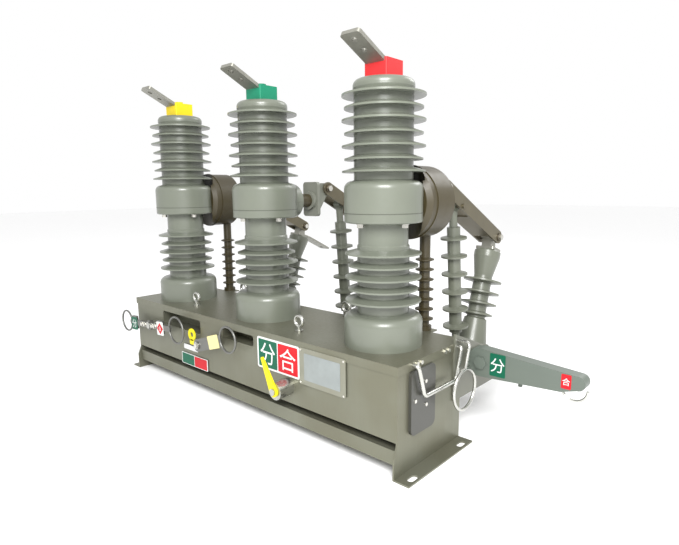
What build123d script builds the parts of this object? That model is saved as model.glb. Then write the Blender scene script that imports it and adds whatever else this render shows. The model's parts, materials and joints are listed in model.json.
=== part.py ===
from build123d import *
import math
import os

# Outdoor three-phase vacuum circuit breaker with an isolating switch behind it.
# Millimetres, +Z up. +X runs along the housing, +Y points to the rear, and the
# origin lies on the floor under the axis of the middle pole.

os.makedirs("parts", exist_ok=True)

# Phases along the housing
phase_pitch = 340
phase_x = {"a": -phase_pitch, "b": 0, "c": phase_pitch}
ct_phases = ("a", "c")
rear_bar_phases = ("a", "b")

# Housing and its sheet metal
end_face_x = 447.5
front_y = -101.3
rear_y = 109
housing_bottom = 65
lid_top = 201
lid_rear_y = 122
sheet = 3
lip_sheet = 2
lip_drop = 13
lid_tab_width = 44
lid_tab_depth = 148

# Feet and rails
foot_width = 34
foot_front_y = -108
foot_flare_z = 40
flare_top_z = 60
foot_slot_x = 468
foot_slot_y = 82
foot_slot_length = 24
foot_slot_width = 12
rail_bottom = 23.4
rail_top = 50.5
rail_depth = 25

# Recesses of the operating mechanism in the front wall
recess_depth = 40
recess_corner = 6
rocker_recess = {"left": -310, "right": -137, "bottom": 150, "top": 184}
charge_recess = {"left": -46, "right": 66, "bottom": 160, "top": 184}

# Pole column
boss_r = 75
boss_top = 262
boss_fillet = 16
lower_core_r = 49
lower_shed_z = (286.3, 307.9, 330.5, 352.1, 375.2)
lower_shed_r = 71.7
lower_small_shed_r = 65.9
neck_r = 46.9
band_r = 72.9
band_bottom = 432
band_top = 508
band_fillet = 14
band_foot_fillet = 4
upper_core_r = 54.5
upper_shed_z = (524.8, 546.6, 569.4, 592.1, 614.9, 636.8, 658.7)
upper_shed_r = 76.4
upper_small_shed_r = 72
cap_rise = 27.3
cap_foot = 12
cap_r = 56
cap_fillet = 11
shed_tip = 3.2
shed_root = 9.5
shed_droop = 3
shed_gap = 1
core_step = 2
neck_start = 14
neck_end = 17
arm_z = 467
arm_boss_r = 40
arm_boss_y = 84

# Terminal on the cap
cover_size = 50
cover_fillet = 3
cover_height = 32
cover_front_y = -25
cover_bump_r = 10
cover_bump_height = 6
bar_width = 42
bar_thickness = 7
bar_exit_y = -18
bar_exit_drop = 6
bar_rise = 26
bar_length = 84
bar_hole_r = 5.5
bar_hole_first = 40
bar_hole_pitch = 28
bar_corner = 6

# Current transformer drum and its lead column
ct_r = 71
ct_front_y = 50
ct_rear_y = 145
ct_edge = 9
ct_seam_y = 77
ct_seam_width = 5
ct_seam_height = 1.6
lead_offset_x = 7
lead_y = 131
lead_r = 11
lead_shed_r = 19
lead_shed_count = 7
lead_first_shed_z = 224.6
lead_shed_pitch = 20.8
lead_shed_tip = 2.5
lead_shed_root = 8
lead_foot_r = 16
lead_foot_height = 9

# Hinge casting behind each pole
casting_width = 50
casting_top = 512
casting_bottom = 428
casting_plate = 10
casting_corner = 8
hinge_y = 185
hinge_z = 496
cheek_in = 12
cheek_out = 18
cheek_r = 13
stub_r = 16
stub_flange_r = 22

# Isolating blade, two bars with a web between them
blade_slope = 26.5
blade_length = 273
pin_overhang = 4
blade_height = 31
blade_bar = 5
blade_in = 20
blade_web = 4
blade_web_start = 118
blade_web_end = 232
pin_r = 5
pin_clearance = 0.15

# Pull rod between the crank and the blade
link_y = 65.5
link_z = -41
rod_top_y = 250.5
rod_top_z = 455
rod_bottom_y = 281
rod_bottom_z = 109
rod_r = 14.5
rod_shed_r = 29
rod_shed_count = 6
rod_first_shed = 70.5
rod_shed_pitch = 41
rod_shed_tip = 4
rod_shed_root = 11
rod_body_start = 56
rod_body_end = 300
rod_eye_half = 10
rod_eye_r = 12
rod_neck_r = 9

# Shaft with three double cranks
shaft_r = 12
shaft_overhang = 9
crank_in = 12
crank_out = 18
crank_hub_r = 19
crank_eye_r = 12
shaft_collar_r = 18
shaft_collar_width = 8
shaft_end_gap = 0.5

# Leaning support insulator with the fixed contact
support_base_y = 350
support_base_z = 115
support_base_edge = 10
support_trunk_step = 3
support_head_chamfer = 4
support_top_y = 424
support_top_z = 341
support_base_r = 36
support_trunk_r = 27
support_trunk_top = 66
support_core_r = 22
support_shed_s = (78, 104, 131, 160)
support_shed_r = (38, 43.5, 45, 46)
support_shed_tip = 4
support_shed_root = 12
support_head_start = 172
support_head_r = 31.5
support_head_edge = 18
contact_plate = 6
contact_plate_width = 48
contact_plate_depth = 44
contact_plate_corner = 5
jaw_foot_front = 12
jaw_foot_rear = 14
jaw_sink = 6
jaw_edge = 2
contact_half = 12
contact_gap = 0.4
contact_pad_r = 8
rear_bar_bend = 33
rear_bar_length = 100
rear_bar_width = 40
rear_bar_slope = 26
rear_bar_hole_edge = 18

# Side plates and beam of the isolating switch
side_plate = 4
side_front_y = 80
side_rear_y = 362
side_bottom = 86
side_rim_front_z = 220
side_rim_rear_z = 107
beam_width = 82
beam_depth = 26
beam_sheet = 4

# Operating arm of the isolating switch, on the right-hand end
arm_pivot_x = 485
arm_pivot_z = 162
arm_front_y = 118
arm_rear_y = 144
arm_sheet = 3
arm_root_r = 28
arm_tip_x = 677
arm_tip_z = 163.5
arm_tip_r = 13
arm_heel_x = 636
arm_heel_half = 20
arm_bolt_r = 8
arm_eye_wall = 4
arm_bolt_head_r = 13
arm_bolt_head = 4
arm_bolt_gap = 0.5
bracket_plate = 4
bracket_gap = 2
bracket_flange = 34
bracket_bottom = 130
bracket_top = 176
d_ring_x = 656
d_ring_r = 22
d_ring_wire = 2.6
d_ring_sink = 1
peg_lap = 6
peg_x = 560
peg_r = 4
peg_length = 11

# Hook with a pull ring beside the arm
hook_y = 86
hook_z = 207
hook_reach_x = 479
hook_low_y = 70
hook_low_z = 160
hook_wire = 3.5
hook_ring_r = 39
hook_ring_wire = 3
hook_bend = 9

# Carrying handles and the cover strip
handle_wire = 4
handle_x = 461
handle_top_z = 194
handle_bar_z = 135
handle_front_top_y = -58
handle_rear_top_y = 87
handle_splay = 20
handle_bend = 10
strip_front_y = -67
strip_rear_y = 9
strip_bottom = 67
strip_top = 185
strip_thickness = 6
strip_corner = 12

# Lifting eyes on the lid
eye_places = {
    "front_left": (-222, -52),
    "front_right": (160, -52),
    "rear_left": (-238, 110),
    "rear_right": (148, 110),
}
eye_r = 11
eye_wire = 3.5
eye_height = 22
eye_stem_r = 5
eye_foot_r = 9
eye_foot_height = 4

# Open and close rocker
rocker_x = -345
rocker_z = 143
rocker_lean = 3.7
rocker_front_y = -123
rocker_back_y = -114
rocker_bar_back_y = -117.5
rocker_bar_height = 15
rocker_left = 98
rocker_right = 98
rocker_hub_r = 13
open_ring_x = -127
open_ring_r = 28
close_ring_x = 132
close_ring_r = 33
ring_wire = 2.5
tag_width = 26
tag_height = 36
tag_corner = 3
open_tag_x = -80
close_tag_x = 58

# Charging lever
charge_x = -112
charge_z = 134
charge_rise = 16.7
charge_front_y = -126
charge_back_y = -117
charge_bar_back_y = -121
charge_length = 96
charge_root_half = 15
charge_tip_half = 13
charge_ring_r = 29
charge_ring_reach = 127
charge_eye_lap = 4

# Position pointer
pointer_x = 175
pointer_z = 99
pointer_boss_r = 18
pointer_boss_y = -136
pointer_plate = 4
pointer_gap = 0.4
pointer_length = 69
pointer_hub_r = 11
pointer_tip_r = 3.5
pointer_lean = 27
pointer_neck_r = 4.5
pointer_head_r = 7
pointer_head = 3

# Pivot posts
post_neck_r = 6
post_washer = 5
post_head_r = 9
post_head = 3
post_gap = 0.5
post_base_r = 10

# Sizes that follow from the ones above
wall_front_y = front_y + lip_sheet
box_half_x = end_face_x - sheet
cap_top = upper_shed_z[-1] + cap_rise
cover_top = cap_top + cover_height
bar_exit_z = cover_top - bar_exit_drop
lid_under = lid_top - sheet
side_face_x = end_face_x + side_plate
support_run = math.hypot(support_top_y - support_base_y, support_top_z - support_base_z)
support_dir = (
    0,
    (support_top_y - support_base_y) / support_run,
    (support_top_z - support_base_z) / support_run,
)
rod_run = math.hypot(rod_top_y - rod_bottom_y, rod_top_z - rod_bottom_z)
rod_dir = (0, (rod_top_y - rod_bottom_y) / rod_run, (rod_top_z - rod_bottom_z) / rod_run)
shaft_y = rod_bottom_y - link_y
shaft_z = rod_bottom_z - link_z


def save(piece, name):
    """The shared origin is midway between the slots of the right-hand foot."""
    placed = Pos(-foot_slot_x, 0, 0) * piece
    placed.label = name
    export_step(placed, f"parts/{name}.step")


def front_plane(x, y, z):
    """Sketch plane that faces the front: local x is +X, local y is +Z."""
    return Plane(origin=(x, y, z), x_dir=(1, 0, 0), z_dir=(0, -1, 0))


def side_plane(x):
    """Sketch plane across the housing: local x is +Y, local y is +Z, normal +X."""
    return Plane(origin=(x, 0, 0), x_dir=(0, 1, 0), z_dir=(1, 0, 0))


def lean_plane(x, y, z, direction):
    """Upright sketch plane whose local y runs along a leaning axis in the YZ plane."""
    return Plane(origin=(x, y, z), x_dir=(1, 0, 0), z_dir=(0, -direction[2], direction[1]))


def shed(core, radius, height, tip, root, droop=0):
    """Outline of one shed, from the core out to its tip and back."""
    return [
        (core, height + droop - root / 2),
        (radius, height - tip / 2),
        (radius, height + tip / 2),
        (core, height + droop + root / 2),
    ]


# Housing: a closed steel box with two recesses for the hand levers
with BuildPart() as housing_box:
    with BuildSketch(Plane.XY.offset(housing_bottom)):
        with Locations((0, (wall_front_y + rear_y) / 2)):
            Rectangle(2 * box_half_x, rear_y - wall_front_y)
    extrude(amount=lid_under - housing_bottom)
    for recess in (rocker_recess, charge_recess):
        with BuildSketch(front_plane(0, wall_front_y, 0)):
            with Locations(((recess["left"] + recess["right"]) / 2, (recess["bottom"] + recess["top"]) / 2)):
                RectangleRounded(
                    recess["right"] - recess["left"],
                    recess["top"] - recess["bottom"],
                    recess_corner,
                )
        extrude(amount=-recess_depth, mode=Mode.SUBTRACT)
save(housing_box.part, "housing_box")

# Lid with a turned-down lip on all sides and a tab under each lead column
lid_half_x = end_face_x + lip_sheet
with BuildPart() as top_cover:
    with BuildSketch(Plane.XY.offset(lid_under)):
        with Locations((0, (front_y + lid_rear_y) / 2)):
            Rectangle(2 * lid_half_x, lid_rear_y - front_y)
        for phase in ct_phases:
            with Locations((phase_x[phase] + lead_offset_x, (rear_y + lid_tab_depth) / 2)):
                Rectangle(lid_tab_width, lid_tab_depth - rear_y)
    extrude(amount=sheet)
    with BuildSketch(Plane.XY.offset(lid_under)):
        with Locations((0, (front_y + lid_rear_y) / 2)):
            Rectangle(2 * lid_half_x, lid_rear_y - front_y)
            Rectangle(2 * end_face_x, lid_rear_y - front_y - 2 * lip_sheet, mode=Mode.SUBTRACT)
    extrude(amount=-lip_drop)
    with BuildSketch(Plane.XY.offset(lid_under - lip_drop)):
        for side in (-1, 1):
            with Locations((side * (end_face_x + lip_sheet), (side_front_y + lid_rear_y) / 2)):
                Rectangle(2 * lip_sheet, lid_rear_y - side_front_y)
    extrude(amount=lip_drop + sheet, mode=Mode.SUBTRACT)
save(top_cover.part, "top_cover")

# End plates with outward feet
end_outline = [
    (foot_front_y, 0),
    (rear_y, 0),
    (rear_y, lid_under),
    (front_y + lip_sheet, lid_under),
    (front_y + lip_sheet, flare_top_z),
    (foot_front_y, foot_flare_z),
]
for side, side_name in ((-1, "left"), (1, "right")):
    with BuildPart() as end_plate:
        with BuildSketch(side_plane(side * end_face_x)):
            with BuildLine():
                Polyline(*end_outline, close=True)
            make_face()
        extrude(amount=-side * sheet)
        with BuildSketch(Plane.XY):
            with Locations((side * (end_face_x - sheet + foot_width / 2), (foot_front_y + rear_y) / 2)):
                Rectangle(foot_width, rear_y - foot_front_y)
            for slot_side in (-1, 1):
                with Locations((side * foot_slot_x, slot_side * foot_slot_y)):
                    SlotOverall(foot_slot_length, foot_slot_width, rotation=90, mode=Mode.SUBTRACT)
        extrude(amount=sheet)
    save(end_plate.part, f"end_plate_{side_name}")

# Channel rails between the feet, below the gap under the housing
for rail_face, inward, rail_name in ((front_y + lip_sheet, 1, "front_rail"), (rear_y, -1, "rear_rail")):
    with BuildPart() as rail:
        with BuildSketch(side_plane(-box_half_x)):
            with Locations((rail_face + inward * rail_depth / 2, (rail_bottom + rail_top) / 2)):
                Rectangle(rail_depth, rail_top - rail_bottom)
            with Locations((rail_face + inward * (rail_depth + sheet) / 2, (rail_bottom + rail_top) / 2)):
                Rectangle(rail_depth - sheet, rail_top - rail_bottom - 2 * sheet, mode=Mode.SUBTRACT)
        extrude(amount=2 * box_half_x)
    save(rail.part, rail_name)


def pole_outline():
    """Right half of the pole's outline, from the lid to the cap."""
    outline = [(0, lid_top), (boss_r, lid_top), (boss_r, boss_top - boss_fillet)]
    lower = [(boss_r - boss_fillet, boss_top), (lower_core_r, boss_top + core_step)]
    for index, height in enumerate(lower_shed_z):
        radius = lower_shed_r if index % 2 == 0 else lower_small_shed_r
        lower += shed(lower_core_r, radius, height, shed_tip, shed_root, shed_droop)
    lower += [(lower_core_r, lower_shed_z[-1] + neck_start), (neck_r, lower_shed_z[-1] + neck_end)]
    lower += [(neck_r, band_bottom), (band_r - band_foot_fillet, band_bottom)]
    upper = [(band_r - band_fillet, band_top), (upper_core_r, band_top + core_step)]
    for index, height in enumerate(upper_shed_z):
        radius = upper_shed_r if index % 2 == 0 else upper_small_shed_r
        upper += shed(upper_core_r, radius, height, shed_tip, shed_root, shed_droop)
    upper += [(cap_r, upper_shed_z[-1] + cap_foot), (cap_r, cap_top - cap_fillet)]
    return outline, lower, upper


# Pole columns: one epoxy moulding each, with the vacuum interrupter sealed inside
for phase, x in phase_x.items():
    outline, lower, upper = pole_outline()
    with BuildPart() as pole:
        with BuildSketch(front_plane(x, 0, 0)):
            with BuildLine():
                Polyline(*outline)
                CenterArc((boss_r - boss_fillet, boss_top - boss_fillet), boss_fillet, 0, 90)
                Polyline(*lower)
                CenterArc(
                    (band_r - band_foot_fillet, band_bottom + band_foot_fillet),
                    band_foot_fillet,
                    -90,
                    90,
                )
                Line((band_r, band_bottom + band_foot_fillet), (band_r, band_top - band_fillet))
                CenterArc((band_r - band_fillet, band_top - band_fillet), band_fillet, 0, 90)
                Polyline(*upper)
                CenterArc((cap_r - cap_fillet, cap_top - cap_fillet), cap_fillet, 0, 90)
                Polyline((cap_r - cap_fillet, cap_top), (0, cap_top), (0, lid_top))
            make_face()
        revolve(axis=Axis((x, 0, 0), (0, 0, 1)))
        if phase not in ct_phases:
            with BuildSketch(front_plane(x, arm_boss_y, arm_z)):
                Circle(arm_boss_r)
            extrude(amount=arm_boss_y)
    save(pole.part, f"pole_{phase}")

# Terminal covers and the bars that rise out of them towards the front
bar_cos = math.cos(math.radians(bar_rise))
bar_sin = math.sin(math.radians(bar_rise))
for phase, x in phase_x.items():
    bar_plane = Plane(origin=(x, bar_exit_y, bar_exit_z), x_dir=(1, 0, 0), z_dir=(0, bar_sin, bar_cos))
    with BuildPart() as terminal_bar:
        with BuildSketch(bar_plane):
            with Locations((0, -bar_length / 2)):
                RectangleRounded(bar_width, bar_length, bar_corner)
            for hole in range(2):
                with Locations((0, -bar_hole_first - hole * bar_hole_pitch)):
                    Circle(bar_hole_r, mode=Mode.SUBTRACT)
        extrude(amount=bar_thickness / 2, both=True)
    save(terminal_bar.part, f"terminal_bar_{phase}")
    with BuildPart() as terminal_cover:
        with BuildSketch(Plane.XY.offset(cap_top)):
            with Locations((x, cover_front_y + cover_size / 2)):
                RectangleRounded(cover_size, cover_size, cover_fillet)
        extrude(amount=cover_top - cap_top)
        with BuildSketch(Plane.XY.offset(cover_top)):
            with Locations((x, cover_front_y + cover_size / 2)):
                Circle(cover_bump_r)
        extrude(amount=cover_bump_height)
        with BuildSketch(bar_plane):
            with Locations((0, -bar_length / 2)):
                Rectangle(bar_width, bar_length)
        extrude(amount=bar_thickness / 2, both=True, mode=Mode.SUBTRACT)
    save(terminal_cover.part, f"terminal_cover_{phase}")

# Current transformers behind the outer poles, each with a shed-covered lead column
for phase in ct_phases:
    x = phase_x[phase]
    lead_x = x + lead_offset_x
    drum = [
        (0, ct_front_y),
        (ct_r - ct_edge, ct_front_y),
        (ct_r, ct_front_y + ct_edge),
        (ct_r, ct_seam_y - ct_seam_width / 2),
        (ct_r + ct_seam_height, ct_seam_y - ct_seam_width / 2),
        (ct_r + ct_seam_height, ct_seam_y + ct_seam_width / 2),
        (ct_r, ct_seam_y + ct_seam_width / 2),
        (ct_r, ct_rear_y - ct_edge),
        (ct_r - ct_edge, ct_rear_y),
        (0, ct_rear_y),
    ]
    lead_top = arm_z - ct_r / 2
    column = [(0, lid_top), (lead_foot_r, lid_top), (lead_foot_r, lid_top + lead_foot_height)]
    column += [(lead_r, lid_top + lead_foot_height)]
    for index in range(lead_shed_count):
        height = lead_first_shed_z + index * lead_shed_pitch
        column += shed(lead_r, lead_shed_r, height, lead_shed_tip, lead_shed_root)
    column += [(lead_r, lead_top), (0, lead_top)]
    with BuildPart() as current_transformer:
        drum_plane = Plane(origin=(x, 0, arm_z), x_dir=(1, 0, 0), z_dir=(0, 0, 1))
        with BuildSketch(drum_plane):
            with BuildLine():
                Polyline(*drum, close=True)
            make_face()
        revolve(axis=Axis((x, 0, arm_z), (0, 1, 0)))
        with BuildSketch(front_plane(lead_x, lead_y, 0)):
            with BuildLine():
                Polyline(*column, close=True)
            make_face()
        revolve(axis=Axis((lead_x, lead_y, 0), (0, 0, 1)))
        with BuildSketch(Plane.XY.offset(arm_z - 2 * ct_r)):
            with Locations((x, 0)):
                Circle(band_r)
        extrude(amount=4 * ct_r, mode=Mode.SUBTRACT)
        with BuildSketch(Plane.XY.offset(band_top)):
            with Locations((x, 0)):
                Circle(upper_shed_r + shed_gap)
        extrude(amount=2 * ct_r, mode=Mode.SUBTRACT)
    save(current_transformer.part, f"current_transformer_{phase}")

# Hinge castings: a plate behind the transformer or stub, with two cheeks for the blade
cheek_outline_low = casting_bottom + 8
for phase, x in phase_x.items():
    with BuildPart() as blade_hinge:
        with BuildSketch(front_plane(x, ct_rear_y, (casting_top + casting_bottom) / 2)):
            RectangleRounded(casting_width, casting_top - casting_bottom, casting_corner)
        extrude(amount=-casting_plate)
        for cheek_side in (-1, 1):
            cheek_start = x + cheek_side * (cheek_in + cheek_out) / 2
            with BuildSketch(side_plane(cheek_start)):
                with BuildLine():
                    Polyline(
                        (ct_rear_y + casting_plate, cheek_outline_low),
                        (hinge_y + cheek_r, hinge_z),
                        (hinge_y, hinge_z + cheek_r),
                        (ct_rear_y + casting_plate, hinge_z + cheek_r),
                        close=True,
                    )
                make_face()
                with Locations((hinge_y, hinge_z)):
                    Circle(cheek_r)
                    Circle(pin_r + pin_clearance, mode=Mode.SUBTRACT)
            extrude(amount=(cheek_out - cheek_in) / 2, both=True)
        if phase not in ct_phases:
            with BuildSketch(front_plane(x, arm_boss_y, arm_z)):
                Circle(stub_r)
            extrude(amount=-(ct_rear_y - arm_boss_y))
            with BuildSketch(front_plane(x, ct_rear_y, arm_z)):
                Circle(stub_flange_r)
            extrude(amount=casting_plate)
    save(blade_hinge.part, f"blade_hinge_{phase}")

# Isolating blades, drawn level about the hinge and then sloped down to the rear
blade_link = math.hypot(link_y, link_z)
blade_link_angle = math.degrees(math.atan2(link_z, link_y)) + blade_slope
pin_along = blade_link * math.cos(math.radians(blade_link_angle))
pin_across = blade_link * math.sin(math.radians(blade_link_angle))
blade_cos = math.cos(math.radians(blade_slope))
blade_sin = math.sin(math.radians(blade_slope))
blade_out = blade_in + blade_bar
for phase, x in phase_x.items():
    with BuildPart() as isolator_blade:
        for bar_side in (-1, 1):
            bar_plane = Plane(
                origin=(x + bar_side * (blade_in + blade_bar / 2), hinge_y, hinge_z),
                x_dir=(0, blade_cos, -blade_sin),
                z_dir=(1, 0, 0),
            )
            with BuildSketch(bar_plane):
                with Locations((blade_length / 2, 0)):
                    SlotCenterToCenter(blade_length, blade_height)
            extrude(amount=blade_bar / 2, both=True)
        middle_plane = Plane(origin=(x, hinge_y, hinge_z), x_dir=(0, blade_cos, -blade_sin), z_dir=(1, 0, 0))
        with BuildSketch(middle_plane):
            with Locations(((blade_web_start + blade_web_end) / 2, -(blade_height - blade_web) / 2)):
                Rectangle(blade_web_end - blade_web_start, blade_web)
        extrude(amount=blade_in, both=True)
        with BuildSketch(middle_plane):
            with Locations((0, 0), (pin_along, pin_across)):
                Circle(pin_r)
        extrude(amount=blade_out + pin_overhang, both=True)
    save(isolator_blade.part, f"isolator_blade_{phase}")

# Pull rods with sheds, an eye at each end
for phase, x in phase_x.items():
    rod_plane = lean_plane(x, rod_bottom_y, rod_bottom_z, rod_dir)
    body = [(0, 0), (rod_neck_r, 0), (rod_neck_r, rod_body_start), (rod_r, rod_body_start)]
    for index in range(rod_shed_count):
        body += shed(rod_r, rod_shed_r, rod_first_shed + index * rod_shed_pitch, rod_shed_tip, rod_shed_root)
    body += [(rod_r, rod_body_end), (rod_neck_r, rod_body_end), (rod_neck_r, rod_run), (0, rod_run)]
    with BuildPart() as pull_rod:
        with BuildSketch(rod_plane):
            with BuildLine():
                Polyline(*body, close=True)
            make_face()
        revolve(axis=Axis((x, rod_bottom_y, rod_bottom_z), rod_dir))
        for eye_y, eye_z in ((rod_bottom_y, rod_bottom_z), (rod_top_y, rod_top_z)):
            with BuildSketch(side_plane(x)):
                with Locations((eye_y, eye_z)):
                    Circle(rod_eye_r)
            extrude(amount=rod_eye_half, both=True)
        for eye_y, eye_z in ((rod_bottom_y, rod_bottom_z), (rod_top_y, rod_top_z)):
            with BuildSketch(side_plane(x)):
                with Locations((eye_y, eye_z)):
                    Circle(pin_r + pin_clearance)
            extrude(amount=2 * rod_eye_half, both=True, mode=Mode.SUBTRACT)
    save(pull_rod.part, f"pull_rod_{phase}")

# Shaft that turns the three cranks, carried in the side plates
with BuildPart() as isolator_shaft:
    with BuildSketch(side_plane(0)):
        with Locations((shaft_y, shaft_z)):
            Circle(shaft_r)
    extrude(amount=side_face_x + shaft_overhang, both=True)
    for side in (-1, 1):
        collar_x = side * (end_face_x - shaft_end_gap - shaft_collar_width / 2)
        with BuildSketch(side_plane(collar_x)):
            with Locations((shaft_y, shaft_z)):
                Circle(shaft_collar_r)
        extrude(amount=shaft_collar_width / 2, both=True)
    for x in phase_x.values():
        for ear_side in (-1, 1):
            with BuildSketch(side_plane(x + ear_side * (crank_in + crank_out) / 2)):
                with BuildLine():
                    Polyline(
                        (shaft_y, shaft_z + crank_hub_r),
                        (rod_bottom_y, rod_bottom_z + crank_eye_r),
                        (rod_bottom_y, rod_bottom_z - crank_eye_r),
                        (shaft_y, shaft_z - crank_hub_r),
                        close=True,
                    )
                make_face()
                with Locations((shaft_y, shaft_z)):
                    Circle(crank_hub_r)
                with Locations((rod_bottom_y, rod_bottom_z)):
                    Circle(crank_eye_r)
            extrude(amount=(crank_out - crank_in) / 2, both=True)
        with BuildSketch(side_plane(x)):
            with Locations((rod_bottom_y, rod_bottom_z)):
                Circle(pin_r)
        extrude(amount=crank_out + pin_overhang, both=True)
save(isolator_shaft.part, "isolator_shaft")

# Leaning support insulators
for phase, x in phase_x.items():
    column = [(0, 0), (support_base_r, 0), (support_base_r, support_base_edge)]
    column += [(support_trunk_r, support_trunk_top)]
    column += [(support_core_r, support_trunk_top + support_trunk_step)]
    for height, radius in zip(support_shed_s, support_shed_r):
        column += shed(support_core_r, radius, height, support_shed_tip, support_shed_root)
    column += [(support_core_r, support_head_start), (support_head_r, support_run - support_head_edge)]
    column += [(support_head_r, support_run - support_head_chamfer)]
    column += [(support_head_r - support_head_chamfer, support_run), (0, support_run)]
    with BuildPart() as support_insulator:
        with BuildSketch(lean_plane(x, support_base_y, support_base_z, support_dir)):
            with BuildLine():
                Polyline(*column, close=True)
            make_face()
        revolve(axis=Axis((x, support_base_y, support_base_z), support_dir))
    save(support_insulator.part, f"support_insulator_{phase}")

# Fixed contacts on the support insulators; the outer left and middle ones have a rear bar
contact_y = hinge_y + blade_length * blade_cos
contact_z = hinge_z - blade_length * blade_sin
rear_cos = math.cos(math.radians(rear_bar_slope))
rear_sin = math.sin(math.radians(rear_bar_slope))
rear_bend_y = support_top_y + rear_bar_bend * support_dir[2]
rear_bend_z = support_top_z - rear_bar_bend * support_dir[1]
rear_tip_y = rear_bend_y + rear_bar_length * rear_cos
rear_tip_z = rear_bend_z - rear_bar_length * rear_sin
rear_mitre_y = support_dir[1] + rear_sin
rear_mitre_z = support_dir[2] + rear_cos
rear_mitre = contact_plate / (1 + support_dir[1] * rear_sin + support_dir[2] * rear_cos)
for phase, x in phase_x.items():
    head_plane = Plane(origin=(x, support_top_y, support_top_z), x_dir=(1, 0, 0), z_dir=support_dir)
    with BuildPart() as jaw_contact:
        with BuildSketch(head_plane):
            RectangleRounded(contact_plate_width, contact_plate_depth, contact_plate_corner)
        extrude(amount=contact_plate)
        with BuildSketch(side_plane(x)):
            with BuildLine():
                Polyline(
                    (support_top_y - jaw_foot_front, support_top_z + contact_plate + jaw_edge),
                    (support_top_y + jaw_foot_rear, support_top_z + contact_plate - jaw_sink),
                    (contact_y + contact_pad_r + jaw_edge, contact_z),
                    (contact_y - contact_pad_r - jaw_edge, contact_z),
                    close=True,
                )
            make_face()
            with Locations((contact_y, contact_z)):
                Circle(contact_pad_r + jaw_edge)
        extrude(amount=contact_half, both=True)
        with BuildSketch(side_plane(x)):
            with Locations((contact_y, contact_z)):
                Circle(contact_pad_r)
        extrude(amount=blade_in - contact_gap, both=True)
        if phase in rear_bar_phases:
            with BuildSketch(side_plane(x)):
                with BuildLine():
                    Polyline(
                        (support_top_y, support_top_z),
                        (rear_bend_y, rear_bend_z),
                        (rear_tip_y, rear_tip_z),
                        (rear_tip_y + contact_plate * rear_sin, rear_tip_z + contact_plate * rear_cos),
                        (rear_bend_y + rear_mitre * rear_mitre_y, rear_bend_z + rear_mitre * rear_mitre_z),
                        (
                            support_top_y + contact_plate * support_dir[1],
                            support_top_z + contact_plate * support_dir[2],
                        ),
                        close=True,
                    )
                make_face()
            extrude(amount=rear_bar_width / 2, both=True)
            rear_plane = Plane(
                origin=(x, rear_bend_y, rear_bend_z),
                x_dir=(1, 0, 0),
                z_dir=(0, rear_sin, rear_cos),
            )
            with BuildSketch(rear_plane):
                with Locations((0, rear_bar_length - rear_bar_hole_edge)):
                    Circle(bar_hole_r)
            extrude(amount=contact_plate, mode=Mode.SUBTRACT)
    save(jaw_contact.part, f"jaw_contact_{phase}")

# Side plates of the isolating switch, outside the end plates
side_outline = [
    (side_front_y, side_bottom),
    (side_rear_y, side_bottom),
    (side_rear_y, side_rim_rear_z),
    (side_front_y, side_rim_front_z),
]
for side, side_name in ((-1, "left"), (1, "right")):
    with BuildPart() as isolator_side:
        with BuildSketch(side_plane(side * end_face_x)):
            with BuildLine():
                Polyline(*side_outline, close=True)
            make_face()
            with Locations((shaft_y, shaft_z)):
                Circle(shaft_r + pin_clearance, mode=Mode.SUBTRACT)
        extrude(amount=side * side_plate)
    save(isolator_side.part, f"isolator_side_{side_name}")

# Sloped beam under the support insulators
with BuildPart() as isolator_beam:
    beam_plane = Plane(
        origin=(-end_face_x, support_base_y, support_base_z),
        x_dir=(0, support_dir[2], -support_dir[1]),
        z_dir=(1, 0, 0),
    )
    with BuildSketch(beam_plane):
        with Locations((-(beam_width / 2 - support_base_r), -beam_depth / 2)):
            Rectangle(beam_width, beam_depth)
        with Locations((-(beam_width / 2 - support_base_r), -(beam_depth + beam_sheet) / 2)):
            Rectangle(beam_width - 2 * beam_sheet, beam_depth - beam_sheet, mode=Mode.SUBTRACT)
    extrude(amount=2 * end_face_x)
save(isolator_beam.part, "isolator_beam")

# Bracket and bolt that carry the operating arm
bracket_front_y = arm_rear_y + bracket_gap
bracket_rear_y = bracket_front_y + bracket_plate
with BuildPart() as arm_bracket:
    with BuildSketch(front_plane(0, bracket_front_y, 0)):
        with Locations(((side_face_x + arm_pivot_x) / 2, (bracket_bottom + bracket_top) / 2)):
            Rectangle(arm_pivot_x - side_face_x, bracket_top - bracket_bottom)
        with Locations((arm_pivot_x, arm_pivot_z)):
            Circle(bracket_top - arm_pivot_z)
    extrude(amount=-bracket_plate)
    with BuildSketch(side_plane(side_face_x)):
        with Locations((bracket_front_y + bracket_flange / 2, (bracket_bottom + bracket_top) / 2)):
            Rectangle(bracket_flange, bracket_top - bracket_bottom)
    extrude(amount=bracket_plate)
    with BuildSketch(front_plane(arm_pivot_x, bracket_front_y, arm_pivot_z)):
        Circle(arm_bolt_r)
    extrude(amount=bracket_front_y - arm_front_y + arm_bolt_gap)
    with BuildSketch(front_plane(arm_pivot_x, arm_front_y - arm_bolt_gap, arm_pivot_z)):
        RegularPolygon(arm_bolt_head_r, 6)
    extrude(amount=arm_bolt_head)
save(arm_bracket.part, "arm_bracket")

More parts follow.
